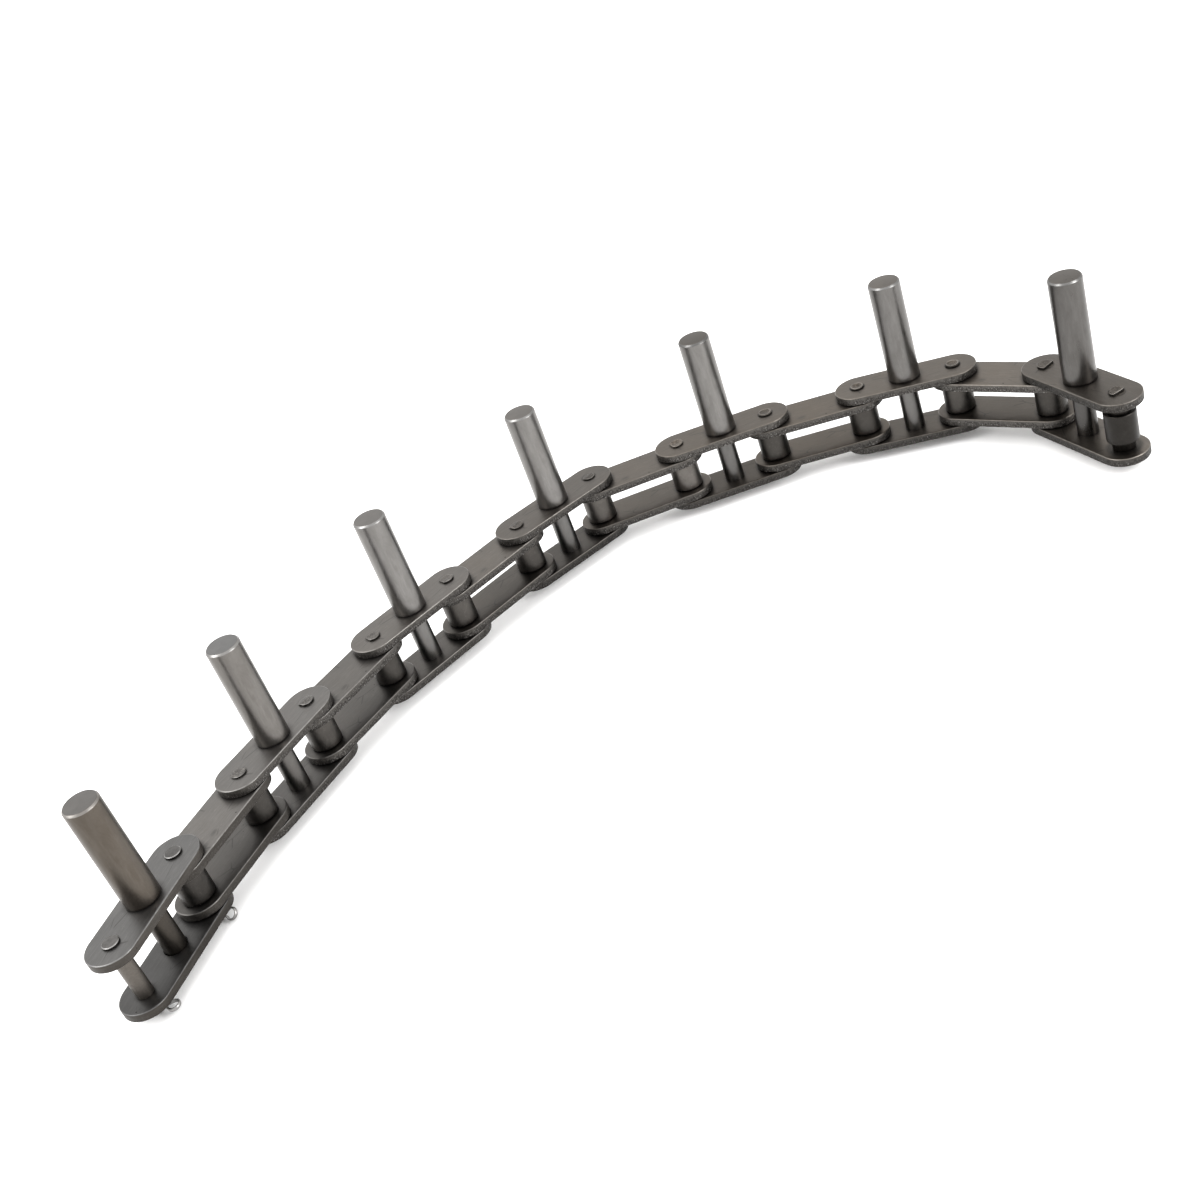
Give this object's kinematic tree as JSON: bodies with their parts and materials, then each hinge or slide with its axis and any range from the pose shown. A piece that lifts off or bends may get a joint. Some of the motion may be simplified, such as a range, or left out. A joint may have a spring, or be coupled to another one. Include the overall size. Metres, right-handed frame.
{
  "type": "conveyor chain",
  "caption": "Strand of double-pitch roller chain lying on its side, with a tall stepped stud through every outer link and a connecting link with split pins at one end.",
  "frame": {"origin": "middle of the strand's box as it lies, on the surface that the connecting pins' tails stand on", "axes": "+X from the connecting link's end to the end with the open bush, +Z along the studs"},
  "size_m": [0.3974, 0.1954, 0.073],
  "materials": {
    "outer_plate": "satin, dark",
    "inner_plate": "satin, dark",
    "bush": "satin",
    "roller": "satin, dark",
    "riveted_pin": "satin",
    "connecting_pin": "satin",
    "stud": "turned, satin",
    "split_pin": "bright drawn wire"
  },
  "bodies": {
    "connecting_link": {"connecting_link_top_plate": "outer_plate", "connecting_link_loose_plate": "outer_plate", "connecting_link_pins": "connecting_pin", "connecting_link_stud": "stud", "split_pins": "split_pin"},
    "inner_link_1": {"inner_link_1_top_plate": "inner_plate", "inner_link_1_bottom_plate": "inner_plate", "inner_link_1_bushes": "bush"},
    "inner_link_1_left_roller": {"inner_link_1_left_roller": "roller"},
    "inner_link_1_right_roller": {"inner_link_1_right_roller": "roller"},
    "outer_link_2": {"outer_link_2_top_plate": "outer_plate", "outer_link_2_bottom_plate": "outer_plate", "outer_link_2_pins": "riveted_pin", "outer_link_2_stud": "stud"},
    "inner_link_2": {"inner_link_2_top_plate": "inner_plate", "inner_link_2_bottom_plate": "inner_plate", "inner_link_2_bushes": "bush"},
    "inner_link_2_left_roller": {"inner_link_2_left_roller": "roller"},
    "inner_link_2_right_roller": {"inner_link_2_right_roller": "roller"},
    "outer_link_3": {"outer_link_3_top_plate": "outer_plate", "outer_link_3_bottom_plate": "outer_plate", "outer_link_3_pins": "riveted_pin", "outer_link_3_stud": "stud"},
    "inner_link_3": {"inner_link_3_top_plate": "inner_plate", "inner_link_3_bottom_plate": "inner_plate", "inner_link_3_bushes": "bush"},
    "inner_link_3_left_roller": {"inner_link_3_left_roller": "roller"},
    "inner_link_3_right_roller": {"inner_link_3_right_roller": "roller"},
    "outer_link_4": {"outer_link_4_top_plate": "outer_plate", "outer_link_4_bottom_plate": "outer_plate", "outer_link_4_pins": "riveted_pin", "outer_link_4_stud": "stud"},
    "inner_link_4": {"inner_link_4_top_plate": "inner_plate", "inner_link_4_bottom_plate": "inner_plate", "inner_link_4_bushes": "bush"},
    "inner_link_4_left_roller": {"inner_link_4_left_roller": "roller"},
    "inner_link_4_right_roller": {"inner_link_4_right_roller": "roller"},
    "outer_link_5": {"outer_link_5_top_plate": "outer_plate", "outer_link_5_bottom_plate": "outer_plate", "outer_link_5_pins": "riveted_pin", "outer_link_5_stud": "stud"},
    "inner_link_5": {"inner_link_5_top_plate": "inner_plate", "inner_link_5_bottom_plate": "inner_plate", "inner_link_5_bushes": "bush"},
    "inner_link_5_left_roller": {"inner_link_5_left_roller": "roller"},
    "inner_link_5_right_roller": {"inner_link_5_right_roller": "roller"},
    "outer_link_6": {"outer_link_6_top_plate": "outer_plate", "outer_link_6_bottom_plate": "outer_plate", "outer_link_6_pins": "riveted_pin", "outer_link_6_stud": "stud"},
    "inner_link_6": {"inner_link_6_top_plate": "inner_plate", "inner_link_6_bottom_plate": "inner_plate", "inner_link_6_bushes": "bush"},
    "inner_link_6_left_roller": {"inner_link_6_left_roller": "roller"},
    "inner_link_6_right_roller": {"inner_link_6_right_roller": "roller"},
    "outer_link_7": {"outer_link_7_top_plate": "outer_plate", "outer_link_7_bottom_plate": "outer_plate", "outer_link_7_pins": "riveted_pin", "outer_link_7_stud": "stud"},
    "end_bush_and_roller": {"end_bush_and_roller": "roller"}
  },
  "joints": [
    {"name": "link_hinge_1", "type": "hinge", "parent": "inner_link_1", "child": "connecting_link", "pos_m": [-0.17081, -0.05535, 0.01809], "axis": [0, 0, -1], "range_deg": [-108.5, 121.5]},
    {"name": "link_hinge_2", "type": "hinge", "parent": "outer_link_2", "child": "inner_link_1", "pos_m": [-0.14842, -0.02452, 0.01809], "axis": [0, 0, 1], "range_deg": [-121.2, 108.8]},
    {"name": "link_hinge_3", "type": "hinge", "parent": "inner_link_2", "child": "outer_link_2", "pos_m": [-0.12282, 0.0037, 0.01809], "axis": [0, 0, -1], "range_deg": [-111.1, 118.9]},
    {"name": "link_hinge_4", "type": "hinge", "parent": "outer_link_3", "child": "inner_link_2", "pos_m": [-0.09537, 0.03012, 0.01809], "axis": [0, 0, 1], "range_deg": [-125.6, 104.4]},
    {"name": "link_hinge_5", "type": "hinge", "parent": "inner_link_3", "child": "outer_link_3", "pos_m": [-0.06353, 0.05104, 0.01809], "axis": [0, 0, -1], "range_deg": [-114.2, 115.8]},
    {"name": "link_hinge_6", "type": "hinge", "parent": "outer_link_4", "child": "inner_link_3", "pos_m": [-0.03139, 0.07151, 0.01809], "axis": [0, 0, 1], "range_deg": [-121, 109]},
    {"name": "link_hinge_7", "type": "hinge", "parent": "outer_link_4", "child": "inner_link_4", "pos_m": [0.0027, 0.08851, 0.01809], "axis": [0, 0, 1], "range_deg": [-87.6, 142.4]},
    {"name": "link_hinge_8", "type": "hinge", "parent": "inner_link_4", "child": "outer_link_5", "pos_m": [0.0408, 0.08791, 0.01809], "axis": [0, 0, -1], "range_deg": [-117.8, 112.2]},
    {"name": "link_hinge_9", "type": "hinge", "parent": "outer_link_5", "child": "inner_link_5", "pos_m": [0.07882, 0.08545, 0.01809], "axis": [0, 0, 1], "range_deg": [-107.5, 122.5]},
    {"name": "link_hinge_10", "type": "hinge", "parent": "inner_link_5", "child": "outer_link_6", "pos_m": [0.11619, 0.07805, 0.01809], "axis": [0, 0, -1], "range_deg": [-120.5, 109.5]},
    {"name": "link_hinge_11", "type": "hinge", "parent": "outer_link_6", "child": "inner_link_6", "pos_m": [0.15269, 0.0671, 0.01809], "axis": [0, 0, 1], "range_deg": [-86.2, 143.8]},
    {"name": "link_hinge_12", "type": "hinge", "parent": "inner_link_6", "child": "outer_link_7", "pos_m": [0.17939, 0.03993, 0.01809], "axis": [0, 0, -1], "range_deg": [-144, 86]},
    {"name": "inner_link_1_left_roller_spin", "type": "hinge", "parent": "inner_link_1", "child": "inner_link_1_left_roller", "pos_m": [-0.17081, -0.05535, 0.01809], "axis": [0, 0, 1], "continuous": true},
    {"name": "inner_link_1_right_roller_spin", "type": "hinge", "parent": "inner_link_1", "child": "inner_link_1_right_roller", "pos_m": [-0.14842, -0.02452, 0.01809], "axis": [0, 0, 1], "continuous": true},
    {"name": "inner_link_2_left_roller_spin", "type": "hinge", "parent": "inner_link_2", "child": "inner_link_2_left_roller", "pos_m": [-0.12282, 0.0037, 0.01809], "axis": [0, 0, 1], "continuous": true},
    {"name": "inner_link_2_right_roller_spin", "type": "hinge", "parent": "inner_link_2", "child": "inner_link_2_right_roller", "pos_m": [-0.09537, 0.03012, 0.01809], "axis": [0, 0, 1], "continuous": true},
    {"name": "inner_link_3_left_roller_spin", "type": "hinge", "parent": "inner_link_3", "child": "inner_link_3_left_roller", "pos_m": [-0.06353, 0.05104, 0.01809], "axis": [0, 0, 1], "continuous": true},
    {"name": "inner_link_3_right_roller_spin", "type": "hinge", "parent": "inner_link_3", "child": "inner_link_3_right_roller", "pos_m": [-0.03139, 0.07151, 0.01809], "axis": [0, 0, 1], "continuous": true},
    {"name": "inner_link_4_left_roller_spin", "type": "hinge", "parent": "inner_link_4", "child": "inner_link_4_left_roller", "pos_m": [0.0027, 0.08851, 0.01809], "axis": [0, 0, 1], "continuous": true},
    {"name": "inner_link_4_right_roller_spin", "type": "hinge", "parent": "inner_link_4", "child": "inner_link_4_right_roller", "pos_m": [0.0408, 0.08791, 0.01809], "axis": [0, 0, 1], "continuous": true},
    {"name": "inner_link_5_left_roller_spin", "type": "hinge", "parent": "inner_link_5", "child": "inner_link_5_left_roller", "pos_m": [0.07882, 0.08545, 0.01809], "axis": [0, 0, 1], "continuous": true},
    {"name": "inner_link_5_right_roller_spin", "type": "hinge", "parent": "inner_link_5", "child": "inner_link_5_right_roller", "pos_m": [0.11619, 0.07805, 0.01809], "axis": [0, 0, 1], "continuous": true},
    {"name": "inner_link_6_left_roller_spin", "type": "hinge", "parent": "inner_link_6", "child": "inner_link_6_left_roller", "pos_m": [0.15269, 0.0671, 0.01809], "axis": [0, 0, 1], "continuous": true},
    {"name": "inner_link_6_right_roller_spin", "type": "hinge", "parent": "inner_link_6", "child": "inner_link_6_right_roller", "pos_m": [0.17939, 0.03993, 0.01809], "axis": [0, 0, 1], "continuous": true},
    {"name": "end_bush_and_roller_spin", "type": "hinge", "parent": "outer_link_7", "child": "end_bush_and_roller", "pos_m": [0.18957, 0.00321, 0.01809], "axis": [0, 0, 1], "continuous": true}
  ]
}
